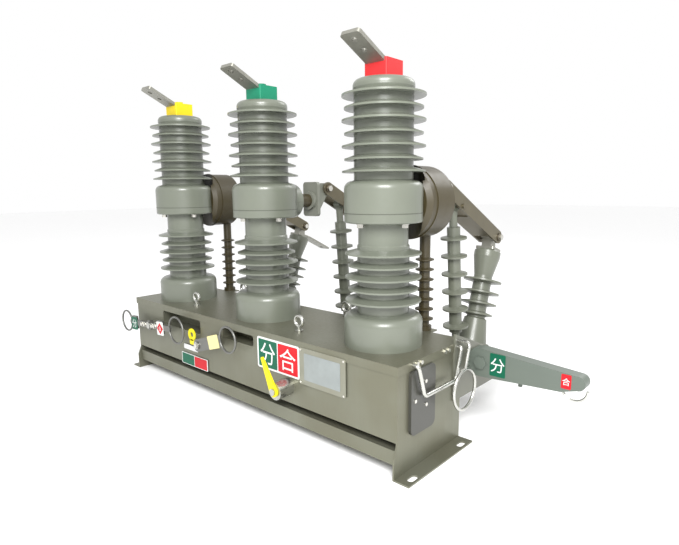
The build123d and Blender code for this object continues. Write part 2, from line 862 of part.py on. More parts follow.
# Operating arm: a tapered channel, open to the rear, with a pull ring under its tip
with BuildPart() as operating_arm:
    with BuildSketch(front_plane(0, arm_front_y, 0)) as arm_face:
        with Locations((arm_pivot_x, arm_pivot_z)):
            Circle(arm_root_r)
        with Locations((arm_tip_x - arm_tip_r, arm_tip_z)):
            Circle(arm_tip_r)
        with BuildLine():
            Polyline(
                (arm_pivot_x, arm_pivot_z + arm_root_r),
                (arm_tip_x - arm_tip_r, arm_tip_z + arm_tip_r),
                (arm_tip_x - arm_tip_r, arm_tip_z - arm_tip_r),
                (arm_heel_x, arm_pivot_z - arm_heel_half),
                (arm_pivot_x, arm_pivot_z - arm_root_r),
                close=True,
            )
        make_face()
    extrude(amount=-(arm_rear_y - arm_front_y))
    with BuildSketch(front_plane(0, arm_rear_y, 0)):
        add(arm_face.sketch_local)
        offset(amount=-arm_sheet, mode=Mode.REPLACE)
    extrude(amount=arm_rear_y - arm_front_y - arm_sheet, mode=Mode.SUBTRACT)
    with BuildSketch(front_plane(arm_pivot_x, arm_rear_y, arm_pivot_z)):
        Circle(arm_bolt_r + arm_eye_wall)
    extrude(amount=arm_rear_y - arm_front_y - arm_sheet)
    with BuildSketch(front_plane(arm_pivot_x, arm_rear_y, arm_pivot_z)):
        Circle(arm_bolt_r + pin_clearance)
    extrude(amount=arm_rear_y - arm_front_y, mode=Mode.SUBTRACT)
    d_ring_z = arm_tip_z - arm_tip_r - d_ring_sink
    with BuildLine(front_plane(d_ring_x, (arm_front_y + arm_rear_y) / 2, d_ring_z)):
        CenterArc((0, 0), d_ring_r, 180, 180)
    with BuildSketch(Plane(origin=(d_ring_x - d_ring_r, (arm_front_y + arm_rear_y) / 2, d_ring_z))):
        Circle(d_ring_wire)
    sweep()
    with BuildSketch(Plane.XY.offset(arm_pivot_z - arm_root_r + peg_lap)):
        with Locations((peg_x, (arm_front_y + arm_rear_y) / 2)):
            Circle(peg_r)
    extrude(amount=-peg_length)
save(operating_arm.part, "operating_arm")

# Hook rod and pull ring beside the arm
with BuildPart() as pull_hook:
    with BuildLine():
        FilletPolyline(
            (side_face_x, hook_y, hook_z),
            (hook_reach_x, hook_y, hook_z),
            (hook_reach_x, hook_low_y, hook_low_z),
            radius=hook_bend,
        )
    with BuildSketch(Plane(origin=(side_face_x, hook_y, hook_z), z_dir=(1, 0, 0))):
        Circle(hook_wire)
    sweep()
    with Locations((hook_reach_x, hook_low_y, hook_low_z - hook_ring_r)):
        Torus(hook_ring_r, hook_ring_wire, rotation=(0, 90, 0))
save(pull_hook.part, "pull_hook")

# Carrying handles, one bent rod on each end
for side, side_name in ((-1, "left"), (1, "right")):
    with BuildPart() as carrying_handle:
        with BuildLine():
            FilletPolyline(
                (side * (end_face_x + lip_sheet), handle_front_top_y, handle_top_z),
                (side * handle_x, handle_front_top_y, handle_top_z),
                (side * handle_x, handle_front_top_y + handle_splay, handle_bar_z),
                (side * handle_x, handle_rear_top_y - handle_splay, handle_bar_z),
                (side * handle_x, handle_rear_top_y, handle_top_z),
                (side * side_face_x, handle_rear_top_y, handle_top_z),
                radius=[5, handle_bend, handle_bend, 5],
            )
        start = (side * (end_face_x + lip_sheet), handle_front_top_y, handle_top_z)
        with BuildSketch(Plane(origin=start, z_dir=(side, 0, 0))):
            Circle(handle_wire)
        sweep()
    save(carrying_handle.part, f"carrying_handle_{side_name}")

# Dark cover strip on the right-hand end
with BuildPart() as cover_strip:
    with BuildSketch(side_plane(end_face_x)):
        with Locations(((strip_front_y + strip_rear_y) / 2, (strip_bottom + strip_top) / 2)):
            RectangleRounded(strip_rear_y - strip_front_y, strip_top - strip_bottom, strip_corner)
    extrude(amount=strip_thickness)
save(cover_strip.part, "cover_strip")

# Lifting eyes
for eye_name, (x, y) in eye_places.items():
    with BuildPart() as lifting_eye:
        with BuildSketch(Plane.XY.offset(lid_top)):
            with Locations((x, y)):
                Circle(eye_foot_r)
        extrude(amount=eye_foot_height)
        with BuildSketch(Plane.XY.offset(lid_top)):
            with Locations((x, y)):
                Circle(eye_stem_r)
        extrude(amount=eye_height - eye_r)
        with Locations((x, y, lid_top + eye_height)):
            Torus(eye_r, eye_wire, rotation=(90, 0, 0))
    save(lifting_eye.part, f"lifting_eye_{eye_name}")


def pivot_post(x, z, base_y, plate_y, base_r, neck_r_here, head_r, head):
    """Post from the front wall: a base, a neck that carries a moving plate, and a head."""
    with BuildPart() as post:
        with BuildSketch(front_plane(x, wall_front_y, z)):
            Circle(base_r)
        extrude(amount=wall_front_y - base_y)
        with BuildSketch(front_plane(x, base_y, z)):
            Circle(neck_r_here)
        extrude(amount=base_y - plate_y)
        with BuildSketch(front_plane(x, plate_y, z)):
            Circle(head_r)
        extrude(amount=head)
    return post.part


save(
    pivot_post(
        rocker_x, rocker_z, rocker_back_y + post_gap, rocker_front_y - post_gap,
        post_base_r, post_neck_r, post_head_r, post_head,
    ),
    "rocker_post",
)
save(
    pivot_post(
        charge_x, charge_z, charge_back_y + post_gap, charge_front_y - post_gap,
        post_base_r, post_neck_r, post_head_r, post_head,
    ),
    "charging_post",
)
pointer_back_y = pointer_boss_y - pointer_gap
pointer_front_y = pointer_back_y - pointer_plate
save(
    pivot_post(
        pointer_x, pointer_z, pointer_boss_y, pointer_front_y - pointer_gap,
        pointer_boss_r, pointer_neck_r, pointer_head_r, pointer_head,
    ),
    "pointer_boss",
)

# Rocker with a pull ring at each end: one opens the breaker, the other closes it
rocker_cos = math.cos(math.radians(rocker_lean))
rocker_sin = math.sin(math.radians(rocker_lean))


def rocker_plane(y):
    return Plane(origin=(rocker_x, y, rocker_z), x_dir=(rocker_cos, 0, rocker_sin), z_dir=(0, -1, 0))


with BuildPart() as open_close_rocker:
    with BuildSketch(rocker_plane(rocker_bar_back_y)):
        with Locations(((rocker_right - rocker_left) / 2, 0)):
            SlotOverall(rocker_right + rocker_left + rocker_bar_height, rocker_bar_height)
        with Locations((open_tag_x, 0), (close_tag_x, 0)):
            RectangleRounded(tag_width, tag_height, tag_corner)
    extrude(amount=rocker_bar_back_y - rocker_front_y)
    with BuildSketch(rocker_plane(rocker_back_y)):
        Circle(rocker_hub_r)
    extrude(amount=rocker_back_y - rocker_front_y)
    with BuildSketch(rocker_plane(rocker_back_y)):
        Circle(post_neck_r + pin_clearance)
    extrude(amount=rocker_back_y - rocker_front_y, mode=Mode.SUBTRACT)
    ring_y = (rocker_bar_back_y + rocker_front_y) / 2
    for ring_x, ring_r in ((open_ring_x, open_ring_r), (close_ring_x, close_ring_r)):
        with Locations(rocker_plane(ring_y)):
            with Locations((ring_x, 0)):
                Torus(ring_r, ring_wire)
save(open_close_rocker.part, "open_close_rocker")

# Charging lever, pulled down to wind the closing spring
charge_cos = math.cos(math.radians(charge_rise))
charge_sin = math.sin(math.radians(charge_rise))


def charge_plane(y):
    return Plane(origin=(charge_x, y, charge_z), x_dir=(charge_cos, 0, charge_sin), z_dir=(0, -1, 0))


with BuildPart() as charging_lever:
    with BuildSketch(charge_plane(charge_bar_back_y)):
        with BuildLine():
            Polyline(
                (0, charge_root_half),
                (charge_length, charge_tip_half),
                (charge_length, -charge_tip_half),
                (0, -charge_root_half),
                close=True,
            )
        make_face()
        Circle(charge_root_half)
    extrude(amount=charge_bar_back_y - charge_front_y)
    with BuildSketch(charge_plane(charge_back_y)):
        Circle(post_neck_r + post_washer)
    extrude(amount=charge_back_y - charge_front_y)
    with BuildSketch(charge_plane(charge_back_y)):
        Circle(post_neck_r + pin_clearance)
    extrude(amount=charge_back_y - charge_front_y, mode=Mode.SUBTRACT)
    with Locations(charge_plane((charge_bar_back_y + charge_front_y) / 2)):
        with Locations((charge_ring_reach - charge_eye_lap, 0)):
            Torus(charge_ring_r, ring_wire)
save(charging_lever.part, "charging_lever")

# Yellow pointer
with BuildPart() as position_pointer:
    lean = math.radians(pointer_lean)
    pointer_plane = Plane(
        origin=(pointer_x, pointer_back_y, pointer_z),
        x_dir=(math.cos(lean), 0, math.sin(lean)),
        z_dir=(0, -1, 0),
    )
    with BuildSketch(pointer_plane):
        with BuildLine():
            Polyline(
                (-pointer_hub_r, 0),
                (-pointer_tip_r, pointer_length),
                (pointer_tip_r, pointer_length),
                (pointer_hub_r, 0),
                close=True,
            )
        make_face()
        Circle(pointer_hub_r)
        with Locations((0, pointer_length)):
            Circle(pointer_tip_r)
        Circle(pointer_neck_r + pin_clearance, mode=Mode.SUBTRACT)
    extrude(amount=pointer_plate)
save(position_pointer.part, "position_pointer")
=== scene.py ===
"""Looks of an outdoor vacuum circuit breaker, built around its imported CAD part."""
import json
import math

import bmesh
import bpy
from bpy.props import FloatProperty, FloatVectorProperty, PointerProperty
from mathutils import Matrix, Vector


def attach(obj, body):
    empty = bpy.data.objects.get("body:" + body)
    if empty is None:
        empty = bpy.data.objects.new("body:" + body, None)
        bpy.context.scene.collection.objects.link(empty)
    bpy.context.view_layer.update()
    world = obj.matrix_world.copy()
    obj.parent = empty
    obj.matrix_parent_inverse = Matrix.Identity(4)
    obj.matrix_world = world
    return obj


bl_info = {
    "name": "Outdoor vacuum circuit breaker",
    "version": (1, 0, 0),
    "blender": (4, 5, 0),
    "location": "3D View > Sidebar > Breaker",
    "description": "Finishes, labels, tags and fasteners of an outdoor vacuum circuit breaker",
    "category": "Object",
}

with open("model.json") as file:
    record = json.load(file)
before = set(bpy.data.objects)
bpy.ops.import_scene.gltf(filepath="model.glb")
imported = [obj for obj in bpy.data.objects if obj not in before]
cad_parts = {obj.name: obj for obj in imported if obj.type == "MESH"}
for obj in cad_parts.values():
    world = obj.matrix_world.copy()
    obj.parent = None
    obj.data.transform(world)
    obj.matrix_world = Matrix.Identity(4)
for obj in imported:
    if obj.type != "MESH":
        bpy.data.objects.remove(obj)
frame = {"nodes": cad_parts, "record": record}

# Sizes are in millimetres, and places start at the floor under the middle pole
MIDDLE_POLE_X = -468
PHASES = {"a": -340, "b": 0, "c": 340}
FRONT_Y = -101.3
POSITION_LABEL = (147.5, FRONT_Y, 155.5)
NAME_PLATE = (273.5, FRONT_Y, 153)
STATE_LABEL = (-166.5, FRONT_Y, 77.5)
NOTE_PLATE = (-180, FRONT_Y, 109)
RING_TAG = (-160, -108, 148)
RING_TAG_STEM = (-160, FRONT_Y, 130)
ROCKER_PIVOT = (-345, -123, 143)
ROCKER_LEAN = 3.7
CHARGING_PIVOT = (-112, -126, 134)
CHARGING_LEAN = 16.7
ARM_OPEN_LABEL = (520, 118, 163.5)
ARM_CLOSE_LABEL = (645.5, 118, 163)
ARM_EYE_X = 630
ARM_EYE_TOP = 149.4
ARM_EYE_Y = 131
END_STRIP_X = 453.5
LID_END_X = 449.5
LID_BOLT_Z = 194
BAND_BOTTOM = 432
BAND_SEAM_Z = 449
STUB_Z = 467
BLADE_PIVOT = (185, 496)
BLADE_LENGTH = 273
BLADE_SLOPE = 26.5
CORNER_STEPS = 4
INK_HEIGHT = 0.0001
RIGHT = (1, 0, 0)
REAR = (0, 1, 0)
UP = (0, 0, 1)
FRONT = (0, -1, 0)
DOWN = (0, 0, -1)
OPEN_MARK = "分"
CLOSE_MARK = "合"


def tone(red, green, blue):
    """A colour as it shows on a screen, 0 to 255, turned into scene light."""

    def light(value):
        value = value / 255
        return value / 12.92 if value <= 0.04045 else ((value + 0.055) / 1.055) ** 2.4
    return light(red), light(green), light(blue)


def colour(name, description, red, green, blue):
    return FloatVectorProperty(
        name=name,
        description=description,
        default=tone(red, green, blue),
        subtype="COLOR",
        min=0,
        max=1,
    )


class BREAKER_colours(bpy.types.PropertyGroup):
    """Colours that a user of the breaker would change"""

    housing: colour("Housing", "Stainless sheet of the housing", 113, 114, 101)
    pole: colour("Poles", "Epoxy of the three poles", 100, 104, 93)
    insulator: colour("Insulators", "Epoxy of the pull rods and support insulators", 99, 102, 90)
    transformer: colour("Transformers", "Epoxy of the current transformers", 55, 48, 26)
    casting: colour("Castings", "Paint of the blade hinges", 114, 116, 106)
    blade: colour("Blades", "Tinned copper of the isolating blades", 108, 102, 84)
    bar: colour("Bars", "Tinned copper of the terminal bars", 152, 151, 142)
    arm: colour("Arm", "Paint of the operating arm", 89, 97, 89)
    frame_paint: colour("Isolator frame", "Paint of the isolator's side plates and beam", 99, 100, 89)
    strip: colour("Cover strip", "Paint of the strip on the right-hand end", 60, 60, 55)
    zinc: colour("Zinc", "Plated rings, rods and eyes", 196, 196, 190)
    phase_yellow: colour("First phase", "Moulded cover of the first phase", 208, 184, 22)
    phase_green: colour("Second phase", "Moulded cover of the second phase", 16, 118, 88)
    phase_red: colour("Third phase", "Moulded cover of the third phase", 196, 40, 42)
    open_green: colour("Open", "Ground of the open marks", 0, 84, 60)
    close_red: colour("Closed", "Ground of the closed marks", 180, 12, 26)
    pointer: colour("Pointer", "Paint of the position pointer", 210, 196, 20)


class BREAKER_sizes(bpy.types.PropertyGroup):
    """Sizes that a user of the breaker would change"""

    label_width: FloatProperty(
        name="Label width",
        description="Width of the open and closed label",
        default=0.129,
        subtype="DISTANCE",
    )
    label_height: FloatProperty(
        name="Label height",
        description="Height of the open and closed label",
        default=0.067,
        subtype="DISTANCE",
    )
    plate_width: FloatProperty(
        name="Plate width", description="Width of the bare name plate", default=0.121, subtype="DISTANCE"
    )
    plate_height: FloatProperty(
        name="Plate height", description="Height of the bare name plate", default=0.074, subtype="DISTANCE"
    )
    camera_lens: FloatProperty(
        name="Lens", description="Focal length on a 36 mm wide sensor", default=0.027746, subtype="DISTANCE"
    )


def colours():
    return bpy.context.scene.breaker_colours


def millimetres(size):
    return size * 1000


class Number:
    """A shader socket that takes part in plain arithmetic and adds its Math nodes."""

    def __init__(self, finish, socket):
        self.finish = finish
        self.socket = socket

    def step(self, operation, first, second=0):
        node = self.finish.add("ShaderNodeMath", {"operation": operation}, {0: first, 1: second})
        return Number(self.finish, node.outputs[0])

    def __add__(self, other):
        return self.step("ADD", self, other)

    def __radd__(self, other):
        return self.step("ADD", other, self)

    def __sub__(self, other):
        return self.step("SUBTRACT", self, other)

    def __rsub__(self, other):
        return self.step("SUBTRACT", other, self)

    def __mul__(self, other):
        return self.step("MULTIPLY", self, other)

    def __rmul__(self, other):
        return self.step("MULTIPLY", other, self)

    def at_most(self, limit):
        return self.step("MINIMUM", self, limit)

    def at_least(self, limit):
        return self.step("MAXIMUM", self, limit)


class Finish:
    """One material, made of a principled shader and the nodes that vary it."""

    def __init__(self, name, **constants):
        self.material = bpy.data.materials.new(name)
        self.material.use_nodes = True
        self.tree = self.material.node_tree
        self.shader = self.tree.nodes["Principled BSDF"]
        for socket, value in constants.items():
            self.feed(self.shader.inputs[socket.replace("_", " ").title().replace("Ior", "IOR")], value)

    def feed(self, socket, value):
        if isinstance(value, Number):
            value = value.socket
        if isinstance(value, bpy.types.NodeSocket):
            self.tree.links.new(value, socket)
        elif socket.type == "RGBA" and len(value) == 3:
            socket.default_value = (*value, 1)
        else:
            socket.default_value = value

    def add(self, kind, settings=None, sockets=None):
        node = self.tree.nodes.new(kind)
        for setting, value in (settings or {}).items():
            setattr(node, setting, value)
        for socket, value in (sockets or {}).items():
            self.feed(node.inputs[socket], value)
        return node

    def noise(self, scale, stretch=(1, 1, 1), detail=3):
        place = self.add("ShaderNodeTexCoord").outputs["Object"]
        drawn = self.add("ShaderNodeVectorMath", {"operation": "MULTIPLY"}, {0: place, 1: stretch})
        cloud = self.add(
            "ShaderNodeTexNoise", None, {"Vector": drawn.outputs[0], "Scale": scale, "Detail": detail}
        )
        return Number(self, cloud.outputs[0])

    def blend(self, factor, first, second):
        node = self.add("ShaderNodeMix", {"data_type": "RGBA"}, {0: factor, 6: first, 7: second})
        return node.outputs[2]

    def colour(self, value):
        self.feed(self.shader.inputs["Base Color"], value)

    def roughness(self, value):
        self.feed(self.shader.inputs["Roughness"], value)

    def bump(self, height, strength, distance):
        node = self.add(
            "ShaderNodeBump", None, {"Strength": strength, "Distance": distance, "Height": height}
        )
        self.feed(self.shader.inputs["Normal"], node.outputs[0])


def shade(tint, amount):
    return tuple(min(1, value * amount) for value in tint)


def brushed_sheet(name, tint):
    """Satin stainless sheet with upright brushing and a brownish haze."""
    finish = Finish(name, metallic=0.55)
    haze = finish.noise(7)
    streaks = finish.noise(160, (1, 1, 0.03), 2)
    grown = ((haze - 0.38) * 3.2).at_least(0).at_most(1)
    brown = (tint[0] * 0.88, tint[1] * 0.85, tint[2] * 0.78)
    finish.colour(finish.blend(grown, brown, shade(tint, 1.08)))
    finish.roughness(0.30 + streaks * 0.16 + haze * 0.08)
    finish.bump(streaks, 0.08, 0.0004)
    return finish.material


def cast_resin(name, tint, gloss=0.22, coat=0.35):
    """Glossy cast epoxy, slightly uneven."""
    finish = Finish(name, coat_weight=coat, coat_roughness=0.12)
    cloud = finish.noise(9)
    fine = finish.noise(70)
    finish.colour(finish.blend(cloud, shade(tint, 0.86), shade(tint, 1.12)))
    finish.roughness(gloss + fine * 0.14)
    finish.bump(cloud, 0.05, 0.001)
    return finish.material


def satin_paint(name, tint, gloss=0.38):
    """Sprayed paint with a faint orange peel."""
    finish = Finish(name)
    cloud = finish.noise(11)
    peel = finish.noise(420)
    finish.colour(finish.blend(cloud, shade(tint, 0.88), shade(tint, 1.1)))
    finish.roughness(gloss + cloud * 0.12)
    finish.bump(peel, 0.06, 0.0003)
    return finish.material


def plated_metal(name, tint, gloss=0.2, metallic=0.95):
    """Plated or tinned metal with a faint tarnish."""
    finish = Finish(name, metallic=metallic)
    tarnish = finish.noise(38)
    finish.colour(finish.blend(tarnish, shade(tint, 0.74), shade(tint, 1.08)))
    finish.roughness(gloss + tarnish * 0.18)
    return finish.material


def moulded(name, tint):
    """Moulded silicone or a printed label."""
    finish = Finish(name, specular_ior_level=0.3)
    cloud = finish.noise(30)
    finish.colour(finish.blend(cloud, shade(tint, 0.94), shade(tint, 1.05)))
    finish.roughness(0.42 + cloud * 0.1)
    return finish.material


def finish_named(name):
    found = bpy.data.materials.get(name)
    if found is None:
        raise RuntimeError(f"finish {name} is made by the first operator")
    return found


class Shape:
    """Solids gathered into one mesh, drawn on faces of the breaker."""

    def __init__(self):
        self.mesh = bmesh.new()

    def ring(self, face, outline, level):
        return [self.mesh.verts.new(face @ Vector((x / 1000, y / 1000, level / 1000))) for x, y in outline]

    def prism(self, face, outline, depth, start=0):
        low = self.ring(face, outline, start)
        high = self.ring(face, outline, start + depth)
        count = len(outline)
        self.mesh.faces.new(list(reversed(low)))
        self.mesh.faces.new(high)
        for first in range(count):
            second = (first + 1) % count
            self.mesh.faces.new((low[first], low[second], high[second], high[first]))

    def tube(self, face, inner, outer, depth, start=0, x=0, y=0, count=64):
        """A ring with square edges, such as a seam, a collar or a tag's eye."""
        rings = []
        for radius, level in ((inner, start), (outer, start), (outer, start + depth), (inner, start + depth)):
            rings.append(self.ring(face, round_outline(radius, count, x, y), level))
        for ring in range(4):
            near, far = rings[ring], rings[(ring + 1) % 4]
            for first in range(count):
                second = (first + 1) % count
                self.mesh.faces.new((near[first], near[second], far[second], far[first]))

    def bolt(self, face, across, head, washer_r=0, washer=0, x=0, y=0):
        """Hexagon head, on a washer where one is given."""
        if washer:
            self.prism(face, round_outline(washer_r, 28, x, y), washer)
        self.prism(face, round_outline(across / 2 / math.cos(math.pi / 6), 6, x, y), head, washer)

    def make(self, name, finish, body):
        bmesh.ops.recalc_face_normals(self.mesh, faces=self.mesh.faces)
        data = bpy.data.meshes.new(name)
        self.mesh.to_mesh(data)
        self.mesh.free()
        data.materials.append(finish_named(finish))
        piece = bpy.data.objects.new(name, data)
        bpy.context.scene.collection.objects.link(piece)
        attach(piece, body)
        return piece


def face_at(x, y, z, right, outward):
    """A drawing face at a place in millimetres: local x to its right, local z out of it."""
    right = Vector(right).normalized()
    outward = Vector(outward).normalized()
    up = outward.cross(right)
    face = Matrix((right, up, outward)).transposed().to_4x4()
    face.translation = Vector(((x + MIDDLE_POLE_X) / 1000, y / 1000, z / 1000))
    return face


def round_outline(radius, count, x=0, y=0):
    return [
        (x + radius * math.cos(2 * math.pi * step / count), y + radius * math.sin(2 * math.pi * step / count))
        for step in range(count)
    ]


def card_outline(width, height, corner, x=0, y=0):
    outline = []
    for centre_x, centre_y, start in (
        (width / 2 - corner, height / 2 - corner, 0),
        (corner - width / 2, height / 2 - corner, 90),
        (corner - width / 2, corner - height / 2, 180),
        (width / 2 - corner, corner - height / 2, 270),
    ):
        for step in range(CORNER_STEPS + 1):
            angle = math.radians(start + step * 90 / CORNER_STEPS)
            outline.append(
                (x + centre_x + corner * math.cos(angle), y + centre_y + corner * math.sin(angle))
            )
    return outline


def card(name, face, width, height, thickness, finish, body, corner=3, x=0, y=0, start=0):
    shape = Shape()
    shape.prism(face, card_outline(width, height, corner, x, y), thickness, start)
    return shape.make(name, finish, body)


def mark(name, words, face, height, finish, body, x=0, y=0, start=0):
    """A flat printed mark, standing a little out of its label."""
    letters = bpy.data.curves.new(name, "FONT")
    letters.body = words
    letters.size = height / 1000
    letters.align_x = "CENTER"
    letters.align_y = "CENTER"
    letters.extrude = INK_HEIGHT
    drawn = bpy.data.objects.new(name + "_drawn", letters)
    bpy.context.scene.collection.objects.link(drawn)
    bpy.context.view_layer.update()
    seen = drawn.evaluated_get(bpy.context.evaluated_depsgraph_get())
    data = bpy.data.meshes.new_from_object(seen)
    bpy.data.objects.remove(drawn)
    if not data.vertices:
        raise RuntimeError(f"mark {name} has no shape")
    low = Vector([min(v.co[axis] for v in data.vertices) for axis in range(3)])
    high = Vector([max(v.co[axis] for v in data.vertices) for axis in range(3)])
    middle = (low + high) / 2
    move = Vector((x / 1000, y / 1000, start / 1000)) - Vector((middle.x, middle.y, low.z))
    data.transform(face @ Matrix.Translation(move))
    data.materials.clear()
    data.materials.append(finish_named(finish))
    piece = bpy.data.objects.new(name, data)
    bpy.context.scene.collection.objects.link(piece)
    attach(piece, body)
    return piece


def refinish(node, finish, belongs):
    """Give the faces of a CAD piece that belong to one of its features their own finish."""
    piece = frame["nodes"][node]
    piece.data.materials.append(finish)
    index = len(piece.data.materials) - 1
    found = 0
    for face in piece.data.polygons:
        x, y, z = (value * 1000 for value in face.center)
        if belongs(x - MIDDLE_POLE_X, y, z):
            face.material_index = index
            found += 1
    if not found:
        raise RuntimeError(f"{node} has no faces of that feature")


class BREAKER_OT_finishes(bpy.types.Operator):
    """Make every finish and put it on the CAD pieces"""

    bl_idname = "breaker.finishes"
    bl_label = "Finishes"

    def execute(self, context):
        tints = colours()
        made = {
            "housing_steel": brushed_sheet("housing_steel_look", tuple(tints.housing)),
            "pole_epoxy": cast_resin("pole_epoxy_look", tuple(tints.pole), 0.26, 0.2),
            "rod_epoxy": cast_resin("rod_epoxy_look", tuple(tints.insulator), 0.3, 0.15),
            "transformer_epoxy": cast_resin("transformer_epoxy_look", tuple(tints.transformer), 0.4, 0.08),
            "tinned_bar": plated_metal("tinned_bar_look", tuple(tints.bar), 0.3, 0.75),
            "casting": satin_paint("casting_look", tuple(tints.casting), 0.34),
            "blade_metal": plated_metal("blade_metal_look", tuple(tints.blade), 0.32, 0.7),
            "yellow_cover": moulded("yellow_cover_look", tuple(tints.phase_yellow)),
            "green_cover": moulded("green_cover_look", tuple(tints.phase_green)),
            "red_cover": moulded("red_cover_look", tuple(tints.phase_red)),
            "arm_paint": satin_paint("arm_paint_look", tuple(tints.arm)),
            "frame_paint": satin_paint("frame_paint_look", tuple(tints.frame_paint)),
            "zinc_rod": plated_metal("zinc_rod_look", tuple(tints.zinc), 0.16),
            "bright_post": plated_metal("bright_post_look", shade(tuple(tints.zinc), 0.86), 0.2),
            "lever_zinc": plated_metal("lever_zinc_look", shade(tuple(tints.zinc), 0.34), 0.3, 0.8),
            "pointer_paint": moulded("pointer_paint_look", tuple(tints.pointer)),
            "strip_paint": satin_paint("strip_paint_look", tuple(tints.strip), 0.3),
        }
        moulded("label_green", tuple(tints.open_green))
        moulded("label_red", tuple(tints.close_red))
        moulded("label_white", tone(204, 206, 204))
        moulded("label_cream", tone(204, 196, 140))
        moulded("tag_yellow", tuple(tints.pointer))
        plated_metal("plate_metal", tone(142, 148, 147), 0.34, 0.4)
        brushed_sheet("plate_edge", tone(134, 135, 124))
        plated_metal("bright_bolt", tone(214, 212, 204), 0.18)
        plated_metal("dark_bolt", tone(92, 84, 70), 0.36, 0.8)
        # Dark grey finish for the pole seams: painted shade, not a colour of the epoxy
        moulded("seam_shadow", tone(76, 78, 70))
        slots = {entry["node"]: entry["material_slot"] for entry in frame["record"]["subparts"]}
        for node, piece in frame["nodes"].items():
            piece.data.materials.clear()
            piece.data.materials.append(made[slots[node]])
        ring_reach = 2.7
        refinish(
            "operating_arm",
            made["zinc_rod"],
            lambda x, y, z: x > ARM_EYE_X and z < ARM_EYE_TOP and abs(y - ARM_EYE_Y) < ring_reach,
        )
        stub_reach, stub_front, stub_rear = 16.5, 86, 160
        refinish(
            "blade_hinge_b",
            made["transformer_epoxy"],
            lambda x, y, z: stub_front < y < stub_rear and math.hypot(x, z - STUB_Z) < stub_reach,
        )
        return {"FINISHED"}


class BREAKER_OT_front_labels(bpy.types.Operator):
    """Add the open and closed label, the bare name plate and the spring state label"""

    bl_idname = "breaker.front_labels"
    bl_label = "Front labels"

    def execute(self, context):
        sizes = context.scene.breaker_sizes
        sheet, ink = 1, 0.3
        side_border, end_border, half_gap = 4.5, 4, 1.5
        mark_share = 0.86
        width, height = millimetres(sizes.label_width), millimetres(sizes.label_height)
        face = face_at(*POSITION_LABEL, RIGHT, FRONT)
        card("position_label", face, width, height, sheet, "label_white", "breaker", 5)
        half, tall = width / 2 - side_border - half_gap, height - 2 * end_border
        for side, name, ground, words in (
            (-1, "open", "label_green", OPEN_MARK),
            (1, "closed", "label_red", CLOSE_MARK),
        ):
            x = side * (half / 2 + half_gap)
            card(f"{name}_ground", face, half, tall, ink, ground, "breaker", 2, x, 0, sheet)
            mark(
                f"{name}_mark", words, face, tall * mark_share, "label_white", "breaker", x, 0, sheet + ink
            )

        plate, panel, panel_side, panel_end = 1.2, 0.4, 13, 10
        screw_r, screw_head, screw_inset = 2.2, 1.4, 4
        width, height = millimetres(sizes.plate_width), millimetres(sizes.plate_height)
        face = face_at(*NAME_PLATE, RIGHT, FRONT)
        card("name_plate_edge", face, width, height, plate, "plate_edge", "breaker", 4)
        inner_width, inner_height = width - 2 * panel_side, height - 2 * panel_end
        card("name_plate", face, inner_width, inner_height, panel, "plate_metal", "breaker", 2, 0, 0, plate)
        screws = Shape()
        for side in (-1, 1):
            for level in (-1, 1):
                x, y = side * (width / 2 - screw_inset), level * (height / 2 - screw_inset)
                screws.prism(face, round_outline(screw_r, 16, x, y), screw_head, plate)
        screws.make("name_plate_screws", "bright_bolt", "breaker")

        sheet = 0.8
        width, height, ground_width, ground_height, ground_x = 113, 29, 53, 26, 27.5
        face = face_at(*STATE_LABEL, RIGHT, FRONT)
        card("state_label", face, width, height, sheet, "label_white", "breaker", 2)
        for side, name, ground in ((-1, "released", "label_green"), (1, "charged", "label_red")):
            x = side * ground_x
            card(f"{name}_ground", face, ground_width, ground_height, ink, ground, "breaker", 1, x, 0, sheet)
        return {"FINISHED"}


def lever_face(x, y, z, lean):
    """A face on a lever that leans, its right-hand end up."""
    angle = math.radians(lean)
    return face_at(x, y, z, (math.cos(angle), 0, math.sin(angle)), FRONT)


